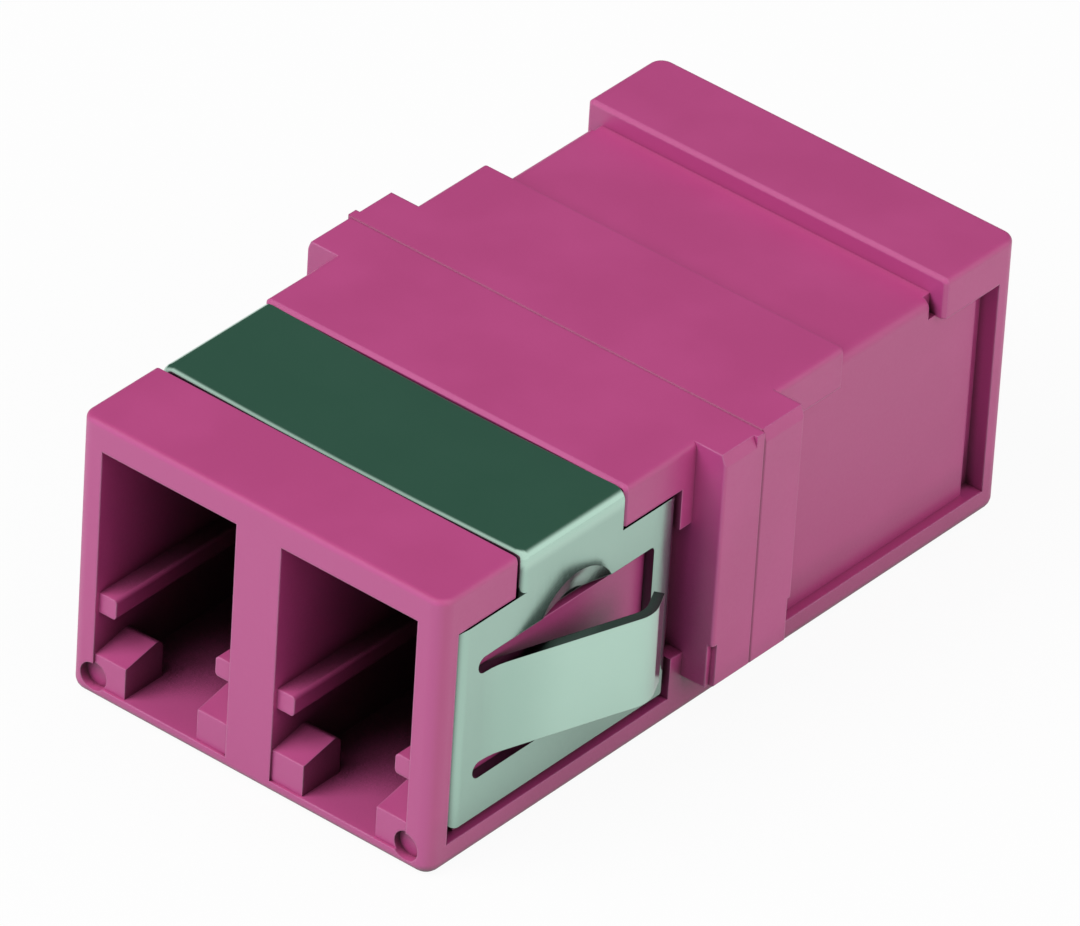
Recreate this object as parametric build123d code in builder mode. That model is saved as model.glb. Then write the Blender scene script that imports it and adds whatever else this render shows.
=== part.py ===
from build123d import *
import os

# Duplex fibre adapter without a panel flange. Millimetres, +Z up, +X to the right of the front ports, +Y from
# the front ports to the rear ports. The origin is on the underside, at the middle of the width and length.

# Housing half: outer block
body_width = 12.6
body_height = 8.9
half_length = 12.0
upright_edge_radius = 0.45
bottom_edge_radius = 0.35
top_edge_radius = 0.18
seam_chamfer = 0.04

# Plug ports
port_pitch = 6.25
port_width = 4.7
port_roof = 0.9
port_floor = 0.45
plug_passage_height = 4.62
plug_passage_depth = 10.4
latch_well_depth = 8.2
guide_rib_thickness = 0.62
guide_rib_reach = 0.6
guide_rib_setback = 0.15
guide_rib_edge_radius = 0.12

# Latch stops on the floor of each port
stop_width = 1.08
stop_setback = 0.08
stop_front_height = 0.97
stop_rise = 0.33
stop_depth = 1.6
stop_end_radius = 0.28

# Round pits at the lower corners of the port face
pit_radius = 0.43
pit_inset = 0.82
pit_height = 0.71
pit_depth = 0.3

# Recesses for the spring clip, measured from the port face
collar_length = 3.1
band_recess_length = 4.33
band_recess_depth = 0.62
side_recess_start = 0.71
side_recess_end = 9.84
side_recess_bottom = 0.8
side_recess_drop = 1.28
side_recess_depth = 0.3
recess_corner_radius = 0.3
recess_edge_chamfer = 0.1

# Hook slots: deeper cuts that take the inward-bent edges of the clip
hook_slot_depth = 0.3
front_hook_slot = 0.6
rear_hook_slot_start = 9.05
pocket_bottom = 2.1
pocket_drop = 2.58
bend_relief_length = 0.32
bend_relief_height = 0.62
bend_relief_depth = 0.25

# Stub flange on each side at the seam
stub_reach = 1.0
stub_thickness = 1.66
stub_bottom = 1.33
stub_root = 0.5
stub_bevel_width = 0.14
stub_bevel_height = 0.36
stub_edge_radius = 0.1
stub_foot_height = 1.4
stub_foot_step = 0.18
seam_nub_length = 0.35

# Weld pins on the right of the seam face, and their sockets on its left
weld_pin_radius = 0.5
weld_pin_length = 0.8
weld_pin_inset = 0.95
weld_pin_low = 1.75
weld_pin_drop = 0.95
weld_pin_play = 0.03
weld_socket_extra = 0.1
weld_pin_chamfer = 0.12

# Sleeve holder: a plate with two barrels, trapped between the halves
holder_plate_thickness = 0.78
holder_plate_height = 4.2
holder_play = 0.05
holder_end_gap = 0.02
barrel_radius = 1.43
barrel_lip = 0.36

# Split sleeve
sleeve_bore_radius = 0.625
sleeve_wall = 0.185
sleeve_length = 11.4
sleeve_slot = 0.35
sleeve_edge_chamfer = 0.05
sleeve_play = 0.05
sleeve_end_play = 0.1
ferrule_play = 0.075
lead_in_flare = 0.3

# Clip: one folded sheet
sheet = 0.3
clip_seat_gap = 0.02
clip_side_play = 0.05
clip_bottom = 1.18
clip_top_gap = 0.05
clip_corner_radius = 0.35
hook_bend_radius = 0.1
hook_end_gap = 0.08
rear_hook_gap = 0.06

# Band of the clip, a little hollow between its two bends
band_drop = 0.03
band_sag = 0.18
band_bow_share = 0.8
band_bend_radius = 0.06
band_front_play = 0.12
band_edge_radius = 0.25

# Clip window and the tongue lanced from it, measured from the port face
window_start = 1.6
window_end = 8.78
window_low = 2.42
window_drop = 2.56
window_corner_radius = 0.15
slit_width = 0.52
tongue_straight = 0.7
tongue_crest = 7.0
tongue_end = 7.85
tongue_lift = 1.55
tongue_curl = 0.42
tongue_root_radius = 2.5
tongue_crest_radius = 0.9

# Half-round dent above the window of the right plate, and the pocket that it reaches into
dent_place = 5.6
dent_rise = 0.82
dent_radius = 1.64
dent_floor_radius = 0.95
dent_depth = 0.24
dent_pocket_play = 0.12
dent_pocket_drop = 0.34

# Places that follow from the sizes above
side_x = body_width / 2
face_y = -half_length
side_recess_top = body_height - side_recess_drop
pocket_top = body_height - pocket_drop
port_x = port_pitch / 2
port_top = body_height - port_roof
rib_top = port_top - plug_passage_height
rib_bottom = rib_top - guide_rib_thickness
plug_axis_z = rib_top + plug_passage_height / 2
recess_floor_x = side_x - side_recess_depth
recess_floor_z = body_height - band_recess_depth
hook_floor_x = recess_floor_x - hook_slot_depth
band_front_y = face_y + collar_length
band_rear_y = band_front_y + band_recess_length
side_front_y = face_y + side_recess_start
side_rear_y = face_y + side_recess_end
stub_side_x = side_x + stub_reach
web_thickness = half_length - plug_passage_depth
weld_pin_x = side_x - weld_pin_inset
weld_pin_high = body_height - weld_pin_drop
barrel_bore_radius = sleeve_bore_radius + sleeve_wall + sleeve_play
barrel_bore_depth = sleeve_length / 2 + sleeve_end_play
barrel_length = barrel_bore_depth + barrel_lip
plate_x = recess_floor_x + clip_seat_gap + sheet / 2
band_z = body_height - band_drop - sheet / 2
band_bow_radius = band_bow_share * plate_x**2 / band_sag
clip_top = side_recess_top - clip_top_gap
window_high = body_height - window_drop
clip_front_y = side_front_y + clip_side_play
clip_rear_y = side_rear_y - rear_hook_gap
tongue_low = window_low + slit_width
tongue_high = window_high - slit_width
slit_end_y = face_y + window_start + slit_width / 2
tongue_start_y = face_y + window_start + tongue_straight
dent_y = face_y + dent_place
dent_z = window_high + dent_rise - dent_radius

# Sections across the adapter look along -Y, side views look along +X
seam_face = Plane.XZ
port_face = Plane.XZ.offset(half_length)


def side_view(x):
    """Sketch plane at x whose own axes are +Y and +Z."""
    return Plane.YZ.offset(x)


def rectangle_between(low, high):
    """Rectangle of the sketch in use, given by two opposite corners."""
    with Locations(((low[0] + high[0]) / 2, (low[1] + high[1]) / 2)):
        Rectangle(high[0] - low[0], high[1] - low[1])


def port_outline():
    """Corners of the right-hand port: latch well below, guide ribs, plug passage above."""
    wall = port_width / 2
    rib = wall - guide_rib_reach
    right = [(wall, port_floor), (wall, rib_bottom), (rib, rib_bottom), (rib, rib_top), (wall, rib_top)]
    right.append((wall, port_top))
    left = [(-x, z) for x, z in reversed(right)]
    return [(port_x + x, z) for x, z in right + left]


with BuildPart() as front_housing:
    # Right half of the outer block, its edges rounded before anything is cut from it
    with BuildSketch(seam_face):
        rectangle_between((0, 0), (side_x, body_height))
    extrude(amount=half_length)
    upright = front_housing.edges().filter_by(Axis.Z).group_by(Axis.Y)[0].sort_by(Axis.X)[-1]
    fillet(upright, upright_edge_radius)
    for end, radius in ((0, bottom_edge_radius), (-1, top_edge_radius)):
        rim = front_housing.faces().sort_by(Axis.Z)[end].edges()
        outer_rim = [edge for edge in rim if edge.center().X > 0.01 and edge.center().Y < -0.01]
        fillet(outer_rim, radius)

    # Stub flange, rooted in the block
    with BuildSketch(seam_face) as stub:
        rectangle_between((side_x - stub_root, stub_bottom), (stub_side_x, body_height))
        fillet(stub.vertices().sort_by(Axis.Y)[:2].sort_by(Axis.X)[-1], stub_edge_radius)
    extrude(amount=stub_thickness)
    with BuildSketch(seam_face.offset(seam_nub_length)):
        with BuildLine():
            Polyline(
                (stub_side_x - stub_bevel_width, body_height),
                (stub_side_x, body_height - stub_bevel_height),
                (stub_side_x, body_height),
                close=True,
            )
        make_face()
    extrude(amount=stub_thickness - seam_nub_length, mode=Mode.SUBTRACT)
    with BuildSketch(Plane.XY.offset(stub_bottom)):
        rectangle_between(
            (stub_side_x - stub_foot_step, -stub_thickness),
            (stub_side_x, -stub_thickness + stub_foot_step),
        )
    extrude(amount=stub_foot_height, mode=Mode.SUBTRACT)
    stub_front = front_housing.edges().filter_by(Axis.Z).filter_by_position(Axis.X, stub_side_x, stub_side_x)
    fillet(stub_front.sort_by(Axis.Y)[0], stub_edge_radius)

    # Recess for the band over the top, with the round corner that the clip is bent over
    with BuildSketch(seam_face.offset(-band_rear_y)) as band_recess:
        with BuildLine():
            Polyline(
                (0, recess_floor_z),
                (recess_floor_x, recess_floor_z),
                (recess_floor_x, side_recess_bottom),
                (side_x, side_recess_bottom),
                (side_x, body_height),
                (0, body_height),
                close=True,
            )
        make_face()
        fillet(band_recess.vertices().sort_by_distance((recess_floor_x, recess_floor_z))[0], recess_corner_radius)
    extrude(amount=band_recess_length, mode=Mode.SUBTRACT)
    for wall_y in (band_front_y, band_rear_y):
        wall_edges = front_housing.edges().filter_by_position(Axis.Y, wall_y, wall_y)
        skin_edges = [
            edge
            for edge in wall_edges
            if edge.center().Z > body_height - top_edge_radius or edge.center().X > side_x - 0.01
        ]
        chamfer(skin_edges, recess_edge_chamfer)

    # Recess for the side plate, then the deeper slots for its bent edges and the pocket beside the stub
    with BuildSketch(side_view(side_x)):
        rectangle_between((side_front_y, side_recess_bottom), (side_rear_y, side_recess_top))
    extrude(amount=-side_recess_depth, mode=Mode.SUBTRACT)
    with BuildSketch(side_view(side_x)):
        rectangle_between(
            (side_front_y, side_recess_bottom),
            (side_front_y + front_hook_slot, side_recess_top),
        )
        rectangle_between(
            (face_y + rear_hook_slot_start, side_recess_bottom),
            (side_rear_y, side_recess_top),
        )
        rectangle_between((side_rear_y, pocket_bottom), (-stub_thickness, pocket_top))
    extrude(amount=-side_recess_depth - hook_slot_depth, mode=Mode.SUBTRACT)
    with BuildSketch(side_view(recess_floor_x)):
        rectangle_between(
            (band_front_y, recess_floor_z - bend_relief_height),
            (band_front_y + bend_relief_length, recess_floor_z),
        )
    extrude(amount=-bend_relief_depth, mode=Mode.SUBTRACT)

    # Port mouth, clear over its whole height as far as the set-back ribs
    with BuildSketch(port_face):
        rectangle_between(
            (port_x - port_width / 2, port_floor),
            (port_x + port_width / 2, port_top),
        )
    extrude(amount=-guide_rib_setback, mode=Mode.SUBTRACT)

    # Port: the latch well and ribs run part of the way in, the plug passage runs to the web
    with BuildSketch(port_face) as port:
        with BuildLine():
            Polyline(*port_outline(), close=True)
        make_face()
        rib_corners = port.vertices().filter_by_position(Axis.Y, rib_bottom, rib_top)
        rib_x = port_width / 2 - guide_rib_reach
        fillet(
            [corner for corner in rib_corners if abs(corner.X - port_x) < rib_x + 0.01],
            guide_rib_edge_radius,
        )
    extrude(amount=-latch_well_depth, mode=Mode.SUBTRACT)
    with BuildSketch(port_face):
        rectangle_between(
            (port_x - port_width / 2, rib_top),
            (port_x + port_width / 2, port_top),
        )
    extrude(amount=-plug_passage_depth, mode=Mode.SUBTRACT)

    # Latch stops: ramps beside each wall, rounded at their far end
    for stop_x in (port_x - port_width / 2, port_x + port_width / 2 - stop_width):
        with BuildSketch(side_view(stop_x)) as stop:
            with BuildLine():
                Polyline(
                    (face_y + stop_setback, port_floor),
                    (face_y + stop_setback, port_floor + stop_front_height),
                    (face_y + stop_depth, port_floor + stop_front_height + stop_rise),
                    (face_y + stop_depth, port_floor),
                    close=True,
                )
            make_face()
            fillet(stop.vertices().sort_by(Axis.Y)[-1], stop_end_radius)
        extrude(amount=stop_width)

    # Round pit at the lower corner of the port face
    with BuildSketch(port_face):
        with Locations((side_x - pit_inset, pit_height)):
            Circle(pit_radius)
    extrude(amount=-pit_depth, mode=Mode.SUBTRACT)

    # Web at the seam: hole for the barrel and seat for the holder's plate
    with BuildSketch(seam_face):
        with Locations((port_x, plug_axis_z)):
            Circle(barrel_radius + holder_play)
    extrude(amount=web_thickness, mode=Mode.SUBTRACT)
    with BuildSketch(seam_face):
        with Locations((0, plug_axis_z)):
            SlotCenterToCenter(port_pitch, holder_plate_height + 2 * holder_play)
    extrude(amount=holder_plate_thickness + holder_end_gap, mode=Mode.SUBTRACT)

    mirror(about=Plane.YZ)

    # Only the right side has the pocket for the dent of the clip
    with BuildSketch(side_view(side_x)):
        rectangle_between(
            (dent_y - dent_radius - dent_pocket_play, window_high - dent_pocket_drop),
            (dent_y + dent_radius + dent_pocket_play, window_high + dent_rise + dent_pocket_play),
        )
    extrude(amount=-side_recess_depth - hook_slot_depth, mode=Mode.SUBTRACT)

    # On the left the top bevel of the stub runs on to the seam
    with BuildSketch(seam_face):
        with BuildLine():
            Polyline(
                (-stub_side_x + stub_bevel_width, body_height),
                (-stub_side_x, body_height - stub_bevel_height),
                (-stub_side_x, body_height),
                close=True,
            )
        make_face()
    extrude(amount=seam_nub_length, mode=Mode.SUBTRACT)

    # Fine groove round the seam, then pins on one side and sockets on the other
    chamfer(front_housing.faces().sort_by(Axis.Y)[-1].outer_wire().edges(), seam_chamfer)
    with BuildSketch(seam_face):
        with Locations((-weld_pin_x, weld_pin_low), (-weld_pin_x, weld_pin_high)):
            Circle(weld_pin_radius + weld_pin_play)
    extrude(amount=weld_pin_length + weld_socket_extra, mode=Mode.SUBTRACT)
    with BuildSketch(seam_face):
        with Locations((weld_pin_x, weld_pin_low), (weld_pin_x, weld_pin_high)):
            Circle(weld_pin_radius)
    extrude(amount=-weld_pin_length)
    chamfer(front_housing.faces().group_by(Axis.Y)[-1].edges(), weld_pin_chamfer)

# The rear half is the same moulding, turned half a turn about the vertical
with BuildPart() as rear_housing:
    add(front_housing.part, rotation=(0, 0, 180))

with BuildPart() as clip_band:
    # Band over the top, bent down onto the two side plates, its front edge rolled over
    with BuildSketch(seam_face.offset(-band_rear_y + clip_side_play)):
        with BuildLine():
            FilletPolyline(
                (-plate_x, clip_top - sheet),
                (-plate_x, band_z),
                (0, band_z - band_sag),
                (plate_x, band_z),
                (plate_x, clip_top - sheet),
                radius=[
                    band_bend_radius + sheet / 2,
                    band_bow_radius,
                    band_bend_radius + sheet / 2,
                ],
            )
        trace(line_width=sheet)
    extrude(amount=band_recess_length - clip_side_play - band_front_play)
    front_rim = clip_band.faces().sort_by(Axis.Y)[0].edges()
    outer_rim = [
        edge
        for edge in front_rim
        if edge.center().Z > band_z - band_sag / 2 or abs(edge.center().X) > plate_x + 0.01
    ]
    fillet(outer_rim, band_edge_radius)

with BuildPart() as retaining_clip:
    # Side plate seen from above, both of its upright edges bent inwards
    hook_x = hook_floor_x + hook_end_gap
    with BuildSketch(Plane.XY.offset(clip_bottom)):
        with BuildLine():
            FilletPolyline(
                (hook_x, clip_front_y + sheet / 2),
                (plate_x, clip_front_y + sheet / 2),
                (plate_x, clip_rear_y - sheet / 2),
                (hook_x, clip_rear_y - sheet / 2),
                radius=hook_bend_radius + sheet / 2,
            )
        trace(line_width=sheet)
    extrude(amount=clip_top - clip_bottom)
    with BuildSketch(Plane.YZ):
        with Locations(((clip_front_y + clip_rear_y) / 2, (clip_bottom + clip_top) / 2)):
            RectangleRounded(clip_rear_y - clip_front_y, clip_top - clip_bottom, clip_corner_radius)
    extrude(amount=stub_side_x, mode=Mode.INTERSECT)

    mirror(about=Plane.YZ)
    add(clip_band.part)

    # Dent pressed into the right plate: its back is added first, then its hollow is taken out
    for surface_x, mode in ((plate_x - sheet / 2, Mode.ADD), (plate_x + sheet / 2, Mode.SUBTRACT)):
        with BuildSketch(side_view(surface_x)):
            with Locations((dent_y, dent_z)):
                Circle(dent_radius)
        with BuildSketch(side_view(surface_x - dent_depth)):
            with Locations((dent_y, dent_z)):
                Circle(dent_floor_radius)
        loft(mode=mode)

    # Window of each plate, down to the round ends of the two slits beside the tongue's root
    with BuildSketch(side_view(stub_side_x)) as window:
        rectangle_between((slit_end_y, window_low), (face_y + window_end, window_high))
        fillet(window.vertices().group_by(Axis.X)[-1], window_corner_radius)
        with Locations((slit_end_y, window_low + slit_width / 2), (slit_end_y, window_high - slit_width / 2)):
            Circle(slit_width / 2)
        with Locations(((slit_end_y + tongue_start_y) / 2, (tongue_low + tongue_high) / 2)):
            Rectangle(tongue_start_y - slit_end_y, tongue_high - tongue_low, mode=Mode.SUBTRACT)
    extrude(amount=-2 * stub_side_x, mode=Mode.SUBTRACT)

    # Tongues: each leans out from its root, and its end curls back
    with BuildSketch(Plane.XY.offset(tongue_low)):
        with BuildLine():
            FilletPolyline(
                (plate_x, slit_end_y),
                (plate_x, tongue_start_y),
                (plate_x + tongue_lift, face_y + tongue_crest),
                (plate_x + tongue_lift - tongue_curl, face_y + tongue_end),
                radius=[tongue_root_radius, tongue_crest_radius],
            )
        trace(line_width=sheet)
        mirror(about=Plane.YZ)
    extrude(amount=tongue_high - tongue_low)

with BuildPart() as sleeve_holder_front:
    with BuildSketch(seam_face):
        with Locations((0, plug_axis_z)):
            SlotCenterToCenter(port_pitch, holder_plate_height)
    extrude(amount=holder_plate_thickness)
    barrels = Locations((-port_x, plug_axis_z), (port_x, plug_axis_z))
    with BuildSketch(seam_face):
        with barrels:
            Circle(barrel_radius)
    extrude(amount=barrel_length)
    with BuildSketch(seam_face):
        with barrels:
            Circle(barrel_bore_radius)
    extrude(amount=barrel_bore_depth, mode=Mode.SUBTRACT)

    # Lip that keeps the sleeve in: its hole flares outwards to lead the ferrule in
    for x in (-port_x, port_x):
        with BuildSketch(seam_face.offset(barrel_bore_depth)):
            with Locations((x, plug_axis_z)):
                Circle(sleeve_bore_radius + ferrule_play)
        with BuildSketch(seam_face.offset(barrel_length)):
            with Locations((x, plug_axis_z)):
                Circle(sleeve_bore_radius + ferrule_play + lead_in_flare)
        loft(mode=Mode.SUBTRACT)

with BuildPart() as sleeve_holder_rear:
    add(sleeve_holder_front.part, rotation=(0, 0, 180))


def split_sleeve(x):
    """Slotted tube on the axis of the channel at x, half in each sleeve holder."""
    with BuildPart() as sleeve:
        with BuildSketch(seam_face.offset(-sleeve_length / 2)):
            with Locations((x, plug_axis_z)):
                Circle(sleeve_bore_radius + sleeve_wall)
                Circle(sleeve_bore_radius, mode=Mode.SUBTRACT)
                with Locations((0, sleeve_bore_radius + sleeve_wall / 2)):
                    Rectangle(sleeve_slot, 2 * sleeve_wall, mode=Mode.SUBTRACT)
        extrude(amount=sleeve_length)
        bore_rims = sleeve.edges().filter_by(GeomType.CIRCLE).group_by(SortBy.RADIUS)[0]
        chamfer(bore_rims, sleeve_edge_chamfer)
    return sleeve


pieces = {
    "front_housing": front_housing,
    "rear_housing": rear_housing,
    "retaining_clip": retaining_clip,
    "sleeve_holder_front": sleeve_holder_front,
    "sleeve_holder_rear": sleeve_holder_rear,
    "split_sleeve_left": split_sleeve(-port_x),
    "split_sleeve_right": split_sleeve(port_x),
}

os.makedirs("parts", exist_ok=True)
for name, piece in pieces.items():
    piece.part.label = name
    export_step(piece.part, f"parts/{name}.step")
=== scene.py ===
# %% [markdown]
# # Duplex fibre adapter in a light tent
# The adapter is a small coupler for four optical plugs, 24 mm long: two welded plastic halves, one folded
# spring clip, and a ceramic sleeve for each channel inside. Its exact solids come from the CAD model, and
# this notebook gives them their surfaces, their light and the camera. Everything is in metres, in the
# frame of the CAD model.

# %% Load the solids
import math

import bpy
from mathutils import Matrix, Vector

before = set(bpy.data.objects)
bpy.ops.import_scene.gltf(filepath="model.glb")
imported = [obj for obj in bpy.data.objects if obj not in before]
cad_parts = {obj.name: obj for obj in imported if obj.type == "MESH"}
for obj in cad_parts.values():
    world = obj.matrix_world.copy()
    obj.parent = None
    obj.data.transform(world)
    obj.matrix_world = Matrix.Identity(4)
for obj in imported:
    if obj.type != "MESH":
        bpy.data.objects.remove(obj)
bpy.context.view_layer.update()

print("solids:", ", ".join(sorted(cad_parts)))

# %% [markdown]
# ## Camera
# A long lens from far away keeps the edges of a small product nearly parallel, as in a catalogue picture.
# The camera could be aimed with a Track To constraint, but a picture taken with a slight tilt is easier
# to repeat from three directions: which way is back to the camera, which way is right, and which way is
# up. They are the columns of its rotation matrix.

# %% Place the camera
MM = 0.001
AZIMUTH = math.radians(37.975)
ELEVATION = math.radians(34.858)
TILT = math.radians(3.637)
DISTANCE = 405.37 * MM
SENSOR_WIDTH, LENS_LENGTH = 36, 503.47
AIM = Vector((0, 0.3, 4.526)) * MM
SLIDE_RIGHT, SLIDE_UP = 0.3627 * MM, 0.2888 * MM

back = Vector((
    math.sin(AZIMUTH) * math.cos(ELEVATION),
    -math.cos(AZIMUTH) * math.cos(ELEVATION),
    math.sin(ELEVATION),
))
level = Vector((math.cos(AZIMUTH), math.sin(AZIMUTH), 0))
upright = back.cross(level)
right = math.cos(TILT) * level + math.sin(TILT) * upright
up = math.cos(TILT) * upright - math.sin(TILT) * level

lens = bpy.data.cameras.new("camera")
lens.sensor_width, lens.lens = SENSOR_WIDTH, LENS_LENGTH
lens.clip_start, lens.clip_end = 0.01, 20
camera = bpy.data.objects.new("camera", lens)
turn = Matrix((right, up, back)).transposed().to_4x4()
camera.matrix_world = Matrix.Translation(AIM + back * DISTANCE - right * SLIDE_RIGHT - up * SLIDE_UP) @ turn
bpy.context.collection.objects.link(camera)
bpy.context.scene.camera = camera
print("camera stands at", [round(1000 * value) for value in camera.matrix_world.translation], "mm")

# %% [markdown]
# ## Writing shaders as sentences
# A material is a graph of nodes. Nodes could be wired by hand in the editor, but in a script every small
# sum would then take three lines. Here a Wire holds one socket, and Python's own plus, minus and times on
# it add the Math nodes. Everything else comes from one method, add, which takes the type of a node, its
# settings and its inputs. The few nodes that every finish needs, such as a noise or a mix of two colours,
# have a short method each.

# %% Wires and graphs
class Wire:
    """One output socket, which sums can join with other wires and plain numbers."""

    def __init__(self, graph, socket):
        self.graph = graph
        self.socket = socket

    def __add__(self, other):
        return self.graph.maths("ADD", self, other)

    def __sub__(self, other):
        return self.graph.maths("SUBTRACT", self, other)

    def __rsub__(self, other):
        return self.graph.maths("SUBTRACT", other, self)

    def __mul__(self, other):
        return self.graph.maths("MULTIPLY", self, other)

    __radd__ = __add__
    __rmul__ = __mul__


class Graph:
    """The nodes of one material or world."""

    def __init__(self, tree):
        self.tree = tree
        self.tree.nodes.clear()

    def add(self, kind, settings=None, inputs=None, output=0):
        """Makes a node, sets it, fills or links its inputs and returns one of its outputs."""
        node = self.tree.nodes.new("ShaderNode" + kind)
        for name, value in (settings or {}).items():
            setattr(node, name, value)
        for name, value in (inputs or {}).items():
            if isinstance(value, Wire):
                self.tree.links.new(value.socket, node.inputs[name])
            else:
                node.inputs[name].default_value = value
        return Wire(self, node.outputs[output]) if node.outputs else node

    def maths(self, operation, first, second=0.0):
        """A sum of one or two numbers that vary over the surface."""
        return self.add("Math", {"operation": operation}, {0: first, 1: second})

    def part_of(self, vector, axis):
        """One number of a vector: axis 0 is x, 1 is y, 2 is z."""
        return self.add("SeparateXYZ", {}, {0: vector}, axis)

    def width_of(self, vector, axis):
        """The same number without its sign, such as the distance from a middle plane."""
        return self.maths("ABSOLUTE", self.part_of(vector, axis))

    def noise(self, place, scale, detail):
        """Cloudy values round 0.5, with this many clouds to the metre."""
        return self.add("TexNoise", {}, {"Vector": place, "Scale": scale, "Detail": detail})

    def between(self, factor, first, second):
        """Colour mix: first where the factor is 0, second where it is 1."""
        return self.add("Mix", {"data_type": "RGBA"}, {0: factor, 6: first, 7: second}, 2)

    def ease(self, value, low, high):
        """0 below low, 1 above high, and a smooth slope between them."""
        settings = {"interpolation_type": "SMOOTHSTEP"}
        return self.add("MapRange", settings, {"Value": value, "From Min": low, "From Max": high})


def colour(red, green, blue):
    """A screen colour of 0 to 255 a channel as the linear one that shaders use."""
    channels = [value / 255 for value in (red, green, blue)]
    return tuple(v / 12.92 if v <= 0.04045 else ((v + 0.055) / 1.055) ** 2.4 for v in channels) + (1.0,)


def new_surface(name):
    """An empty material and its graph."""
    material = bpy.data.materials.new(name)
    material.use_nodes = True
    return material, Graph(material.node_tree)


def finish_surface(graph, inputs):
    """Ends a graph in one Principled shader."""
    shader = graph.add("BsdfPrincipled", {}, inputs)
    graph.add("OutputMaterial", {}, {"Surface": shader})


def dress(surface, *names):
    """Gives a surface to every slot of the solids with these names."""
    for name in names:
        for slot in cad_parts[name].material_slots:
            slot.material = surface
    print(surface.name, "on", ", ".join(names))


print("helpers ready")

# %% [markdown]
# ## Edges and hollows
# Real mouldings have no knife edges: a hundredth of a millimetre of rounding catches a line of light. It
# could be modelled with a Bevel modifier, but the solids stay as they are, so the Bevel node bends the
# shading there instead. The same node also says where the edges are: it differs from the true normal only
# beside them, and the colours paint a highlight there. An Ambient Occlusion node tells how open a place
# is, which keeps the line of light off the inner corners and tells the colours where to paint shade.

# %% Edge and hollow helpers
def openness(graph, reach):
    """1 on open faces, near 0 deep in a hollow of this size."""
    return graph.add("AmbientOcclusion", {"samples": 8}, {"Distance": reach}, 1)


def soft_edges(graph, radius, near):
    """The normal, rounded on outer edges alone, and a mask that is 1 on them."""
    bent = graph.add("Bevel", {"samples": 6}, {"Radius": radius})
    flat = graph.add("NewGeometry", output=1)
    outer = graph.ease(near, 0.65, 0.9)
    likeness = graph.add("VectorMath", {"operation": "DOT_PRODUCT"}, {0: bent, 1: flat}, 1)
    rounded = graph.add("Mix", {"data_type": "VECTOR"}, {0: outer, 4: flat, 5: bent}, 1)
    return rounded, graph.ease(1 - likeness, 0.02, 0.22) * outer


print("edge and hollow helpers ready")

# %% [markdown]
# ## Colours of the plastic
# Both halves are one plastic, but its colour isn't the same everywhere. It drifts a little where the
# plastic flowed. The rest is painted light and shade. The end faces get a paler colour, a painted sheen.
# The floors of the ports near their mouths get a paler one, painted light. Outer edges get a painted
# highlight, and inner corners painted shade in the colour of the seam. The openness paints shade into the
# hollows as a near-black wine red, most of all on the sides of the latch stops that look away from the
# light. All of this could be painted on a texture by hand, but masks from the place, the direction and the
# openness of each spot stay sharp at every distance.

# %% Colour by place
DRIFTS_PER_METRE = 260
PORT_REACH = 9 * MM
PORTS_WITHIN, WALLS_BEYOND = 5.6 * MM, 6.0 * MM
STOPS_BELOW, WALLS_ABOVE = 1.5 * MM, 2.5 * MM
SEAM_LINE, SEAM_SIDES = 0.02 * MM, 0.07 * MM


def plastic_colour(graph, place, near, edges, body, pale, end, lit, edge, seam, deep):
    """Open faces drift from body to pale; the other colours paint light and shade, and the seam line."""
    facing = graph.add("NewGeometry", output=1)
    upward = graph.maths("MAXIMUM", graph.part_of(facing, 2), 0.0)
    rightward = graph.maths("MAXIMUM", graph.part_of(facing, 0), 0.0)
    endwise = graph.ease(graph.width_of(facing, 1), 0.5, 0.95)
    in_ports = 1 - graph.ease(graph.width_of(place, 0), PORTS_WITHIN, WALLS_BEYOND)
    at_stops = 1 - graph.ease(graph.part_of(place, 2), STOPS_BELOW, WALLS_ABOVE)
    on_seam = 1 - graph.ease(graph.width_of(place, 1), SEAM_LINE, SEAM_SIDES)
    depth = openness(graph, PORT_REACH)
    tint = graph.between(graph.ease(graph.noise(place, DRIFTS_PER_METRE, 3), 0.35, 0.7), body, pale)
    # Painted sheen: the end faces get a paler colour.
    tint = graph.between(endwise, tint, end)
    # Painted light on the floors of the ports near their mouths.
    tint = graph.between(upward * in_ports * (1 - graph.ease(depth, 0.45, 0.8)), tint, lit)
    # Painted highlight along the outer edges.
    tint = graph.between(edges * 0.6, tint, edge)
    # Painted shade in the inner corners, in the colour of the seam; the seam line itself is a dark joint.
    tint = graph.between(graph.ease(near, 0.25, 0.65), seam, tint)
    tint = graph.between(on_seam * 0.45, tint, seam)
    # Painted shade: hollows turn near-black wine red, most of all the sides of the latch stops that face
    # away from the light.
    black_at = upward * 0.07 + 0.03
    plain_at = rightward * at_stops * 0.3 - upward * 0.12 + 0.40
    return graph.between(graph.ease(depth, black_at, plain_at), deep, tint)


print("the colour turns darker in hollows up to", round(PORT_REACH / MM), "mm deep")

# %% [markdown]
# ## Moulded magenta plastic
# The plastic is a satin one. Its mould was spark eroded, which leaves a grain a few hundredths of a
# millimetre wide. A plain surface would look like paint, so a fine noise moves the roughness, and a bump
# of a few thousandths lifts the grain. An openness of a few tenths of a millimetre finds the inner
# corners, where the colour paints shade. The edges along the seam are left out of the mask of edges and
# its painted highlight, so that no pale line runs round the middle.

# %% Plastic of the halves
GRAINS_PER_METRE = 9000
GRAIN_DEPTH = 0.0035 * MM
MOULDED_ROUNDING = 0.09 * MM
CORNER_REACH = 0.4 * MM
SEAM_PLAIN, EDGES_BEYOND = 0.06 * MM, 0.16 * MM


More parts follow.
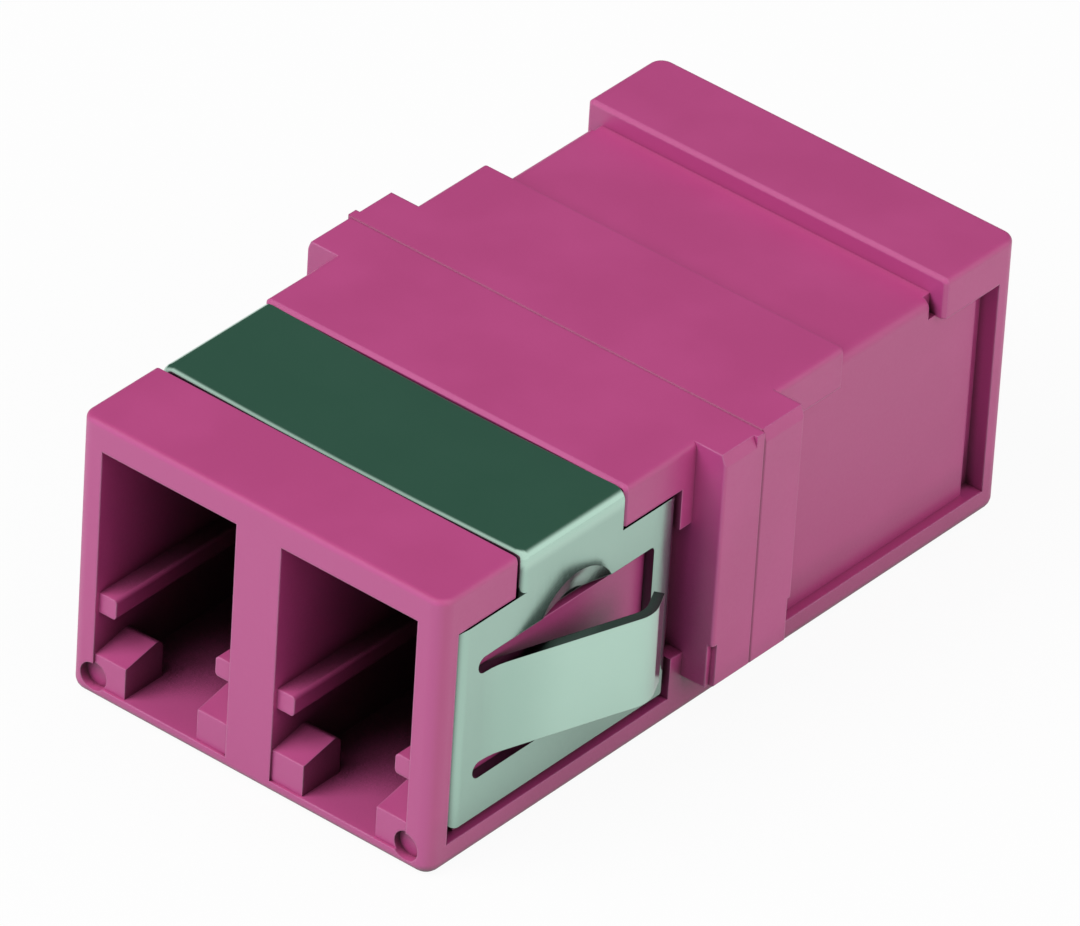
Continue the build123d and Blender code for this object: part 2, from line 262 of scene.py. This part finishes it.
def moulded_plastic(name, **colours):
    """Satin plastic in the colours that plastic_colour asks for."""
    material, graph = new_surface(name)
    place = graph.add("TexCoord", output=3)
    grain = graph.noise(place, GRAINS_PER_METRE, 3)
    near = openness(graph, CORNER_REACH)
    bent, edges = soft_edges(graph, MOULDED_ROUNDING, near)
    edges = edges * graph.ease(graph.width_of(place, 1), SEAM_PLAIN, EDGES_BEYOND)
    relief = {"Strength": 0.6, "Distance": GRAIN_DEPTH, "Height": grain, "Normal": bent}
    finish_surface(graph, {
        "Base Color": plastic_colour(graph, place, near, edges, **colours),
        "Roughness": grain * 0.14 + 0.33 - edges * 0.06,
        "Normal": graph.add("Bump", {}, relief),
        "IOR": 1.8,
    })
    return material


magenta = moulded_plastic(
    "satin_magenta_plastic",
    body=colour(176, 60, 121),
    pale=colour(182, 65, 127),
    end=colour(183, 69, 134),
    lit=colour(202, 89, 147),
    edge=colour(212, 132, 178),
    seam=colour(106, 31, 62),
    deep=colour(32, 17, 13),
)
dress(magenta, "front_housing", "rear_housing")

# %% [markdown]
# ## Colours of the steel
# The clip is cut from rolled stainless strip. The tongues and the band over the top get a brighter steel
# than the plates round the tongues, a painted reflection of brighter parts of the tent. Bent faces below
# the band get a dark grey, a painted dark reflection, and so do the sheared faces, which are rougher too.
# The dent and the hollows get painted shade. One bright colour everywhere could do, but then the folds
# would hardly show.

# %% Colour of the steel
WINDOW_REACH = 3 * MM
BAND_LOW, BAND_HIGH = 8.2 * MM, 8.5 * MM
TONGUE_ROOT, TONGUE_RUBBED = 6.45 * MM, 7.1 * MM
DENT_FLOOR, PLATE_FACE = 6.0 * MM, 6.2 * MM


def steel_colour(graph, place, cloud, edges):
    """Painted reflections, brighter on tongues and band, dark on bends; painted shade in dent and hollows.
    """
    sideways = graph.width_of(graph.add("NewGeometry", output=1), 0)
    aside = graph.width_of(place, 0)
    band = graph.ease(graph.part_of(place, 2), BAND_LOW, BAND_HIGH)
    flat = graph.maths("MAXIMUM", graph.ease(sideways, 0.35, 0.92), band)
    rubbed = graph.maths("MAXIMUM", graph.ease(aside, TONGUE_ROOT, TONGUE_RUBBED), band)
    sunk = 1 - graph.maths("MAXIMUM", graph.ease(aside, DENT_FLOOR, PLATE_FACE), band)
    dulled = graph.between(cloud, colour(167, 199, 184), colour(175, 207, 192))
    bright = graph.between(cloud, colour(183, 216, 200), colour(191, 224, 208))
    # Painted reflection: the tongues and the band get a brighter steel than the plates.
    tint = graph.between(rubbed, dulled, bright)
    tint = graph.between(edges * 0.5, tint, colour(140, 140, 142))
    # Bent and sheared faces get a dark grey: painted dark reflection, and the rougher sheared edges.
    tint = graph.between(flat, colour(92, 94, 96), tint)
    # Painted shade in the dent.
    tint = graph.between(sunk, tint, colour(66, 80, 74))
    # Painted shade in the hollows round the tongues and the window.
    return graph.between(graph.ease(openness(graph, WINDOW_REACH), 0.2, 0.95), colour(84, 92, 88), tint)


print("the tongues are bright from", round(TONGUE_RUBBED / MM, 2), "mm aside")

# %% [markdown]
# ## Spring steel of the clip
# Rolling leaves very fine lines along the strip, so they run over the band and down the plates. They
# could be an anisotropic shader, but an export can't keep that, so a noise that is stretched along the
# strip moves the roughness and the bump instead.

# %% Steel of the clip
LINES_PER_METRE = 14000
LINE_STRETCH = 20
LINE_DEPTH = 0.0012 * MM
CLOUDS_PER_METRE = 420
SHEARED_ROUNDING = 0.03 * MM
EDGE_REACH = 0.2 * MM


def rolled_steel(name):
    """Bright steel with fine lines across the adapter."""
    material, graph = new_surface(name)
    place = graph.add("TexCoord", output=3)
    stretch = (1 / LINE_STRETCH, 1.0, 1 / LINE_STRETCH)
    along = graph.add("Mapping", {"vector_type": "POINT"}, {"Vector": place, "Scale": stretch})
    lines = graph.noise(along, LINES_PER_METRE, 4)
    cloud = graph.noise(place, CLOUDS_PER_METRE, 3)
    bent, edges = soft_edges(graph, SHEARED_ROUNDING, openness(graph, EDGE_REACH))
    relief = {"Strength": 0.5, "Distance": LINE_DEPTH, "Height": lines, "Normal": bent}
    finish_surface(graph, {
        "Base Color": steel_colour(graph, place, cloud, edges),
        "Metallic": 1.0,
        "Roughness": lines * 0.10 + cloud * 0.08 + edges * 0.2 + 0.07,
        "Normal": graph.add("Bump", {}, relief),
    })
    return material


dress(rolled_steel("rolled_spring_steel"), "retaining_clip")

# %% [markdown]
# ## The hidden parts
# Deep in the ports stand the two barrels of the sleeve holder, and in them the ceramic sleeves. They are
# seen only when one looks straight in. The holder is moulded from the same plastic as the halves.
# Zirconia is polished and slightly translucent; a little subsurface light could show that, but at this
# size a smooth off-white is the same.

# %% Holder and sleeves
MOTTLES_PER_METRE = 900


def polished_ceramic(name):
    """Smooth off-white zirconia."""
    material, graph = new_surface(name)
    place = graph.add("TexCoord", output=3)
    cloud = graph.noise(place, MOTTLES_PER_METRE, 2)
    bent, _ = soft_edges(graph, SHEARED_ROUNDING, openness(graph, EDGE_REACH))
    finish_surface(graph, {
        "Base Color": graph.between(cloud, colour(236, 235, 228), colour(244, 243, 238)),
        "Roughness": cloud * 0.06 + 0.09,
        "Normal": bent,
        "IOR": 2.1,
    })
    return material


dress(magenta, "sleeve_holder_front", "sleeve_holder_rear")
dress(polished_ceramic("polished_zirconia"), "split_sleeve_left", "split_sleeve_right")

# %% [markdown]
# ## Floor
# The adapter lies on a plain white sheet that is larger than the view. A curved backdrop isn't needed,
# because the camera looks down on it. The sheet is a thousandth of a millimetre lower than the plastic,
# so that the two faces don't share one plane. In a catalogue picture the ground is almost pure white.
# More light would bleach the adapter too, so the sheet glows a little for the camera and for mirrors
# only, and keeps a part of the shadow.

# %% White sheet
import bmesh

HALF_SHEET = 3.0
SHEET_GAP = 0.001 * MM

sheet_mesh = bpy.data.meshes.new("white_sheet")
form = bmesh.new()
bmesh.ops.create_grid(form, x_segments=1, y_segments=1, size=HALF_SHEET)
bmesh.ops.translate(form, verts=form.verts, vec=(0, 0, -SHEET_GAP))
form.to_mesh(sheet_mesh)
form.free()
white_sheet = bpy.data.objects.new("white_sheet", sheet_mesh)
bpy.context.collection.objects.link(white_sheet)
print("sheet is", round(white_sheet.dimensions.x, 1), "m wide")

# %% [markdown]
# ## Which ray is asking
# A Light Path node tells a shader what kind of ray has reached it. The paper answers the camera, a mirror
# and a ray through glass with a share of plain white, and every other ray with its true grey. A plain
# diffuse white could do without the node, but then the ground would throw more light under the adapter
# than the picture shows.

# %% Paper
GLOW_SEEN = 0.94
GLOW_MIRRORED = 0.35
WHITE = (1, 1, 1, 1)
PAPER_GREY = (0.72, 0.72, 0.72, 1)


def viewing_rays(graph):
    """Three wires that are 1 for rays from the camera, from mirrors and through glass."""
    ways = graph.add("LightPath").socket.node.outputs
    return [Wire(graph, ways[f"Is {kind} Ray"]) for kind in ("Camera", "Glossy", "Transmission")]


paper, graph = new_surface("white_paper")
seen, mirrored, through = viewing_rays(graph)
dull = graph.add("BsdfPrincipled", {}, {"Base Color": PAPER_GREY, "Roughness": 0.9, "IOR": 1.3})
glow = graph.add("Emission", {}, {"Color": WHITE, "Strength": 1.0})
share = (seen + through) * GLOW_SEEN + mirrored * GLOW_MIRRORED
graph.add("OutputMaterial", {}, {"Surface": graph.add("MixShader", {}, {0: share, 1: dull, 2: glow})})
sheet_mesh.materials.append(paper)
print("paper glows by", GLOW_SEEN, "for the camera and by", GLOW_MIRRORED, "for mirrors")

# %% [markdown]
# ## Light
# A light tent surrounds the product with even white. Two soft boxes give it shape: a strong one high in
# front on the left, and a weaker one on the right and a little behind. Area lamps are the plain choice
# for soft boxes. Their power falls with the square of the distance, so the brightness that each should
# give is turned into watts here. Mirrors don't see them, or each would leave a blown white line along the
# rolled front rim of the clip.

# %% Soft boxes
def soft_box(name, towards, distance, width, level):
    """A square lamp, unseen by mirrors, that gives a facing white sheet this level."""
    data = bpy.data.lights.new(name, "AREA")
    data.shape, data.size = "SQUARE", width
    data.energy = level * math.pi**2 * distance**2
    lamp = bpy.data.objects.new(name, data)
    direction = Vector(towards).normalized()
    lamp.location = AIM + direction * distance
    lamp.visible_glossy = False
    lamp.rotation_mode = "QUATERNION"
    lamp.rotation_quaternion = direction.to_track_quat("Z", "Y")
    bpy.context.collection.objects.link(lamp)
    print(name, round(data.energy, 3), "W")


soft_box("key_box", (-0.32, -0.62, 0.72), 0.30, 0.20, 0.72)
soft_box("side_box", (0.90, 0.15, 0.45), 0.35, 0.25, 0.40)

# %% [markdown]
# ## The tent around
# The tent is the world. The camera sees it as plain white. Polished steel shows what stands round it. The
# flat top of the clip looks dark green in the picture and its sides look pale, so mirror rays see a dark
# green screen high at the back left, as a soft round patch, and white elsewhere. A real board on a stand
# could do the same, but it would show in the other views. All other rays get a lower light that is weaker
# towards the horizon, which keeps the depths of the ports dark.

# %% World
SCREEN_DIRECTION = Vector((-0.5, 0.65, 0.57)).normalized()
SCREEN_CORE, SCREEN_RIM = math.radians(40), math.radians(72)
SCREEN_GREEN = (0.056, 0.114, 0.090, 1)
TENT_WHITE = (0.95, 0.95, 0.95, 1)
HORIZON_LIGHT = (0.10, 0.10, 0.11, 1)
ZENITH_LIGHT = (0.56, 0.56, 0.57, 1)

world = bpy.data.worlds.new("tent")
world.use_nodes = True
bpy.context.scene.world = world
graph = Graph(world.node_tree)
seen, mirrored, through = viewing_rays(graph)
towards = graph.add("TexCoord", output=0)
nearness = graph.add("VectorMath", {"operation": "DOT_PRODUCT"}, {0: towards, 1: SCREEN_DIRECTION}, 1)
screen = graph.ease(nearness, math.cos(SCREEN_RIM), math.cos(SCREEN_CORE))
mirror_view = graph.between(screen, TENT_WHITE, SCREEN_GREEN)
sky = graph.between(graph.ease(graph.part_of(towards, 2), -0.1, 0.8), HORIZON_LIGHT, ZENITH_LIGHT)
unseen = graph.between(mirrored, sky, mirror_view)
view = graph.between(seen + through, unseen, WHITE)
graph.add("OutputWorld", {}, {"Surface": graph.add("Background", {}, {"Color": view, "Strength": 1.0})})
print("tent ready, with its screen towards", [round(value, 2) for value in SCREEN_DIRECTION])

# %% [markdown]
# ## Close
# The picture uses Blender's Standard view, which shows a colour as it is written.

# %% Finish
bpy.context.scene.view_settings.view_transform = "Standard"
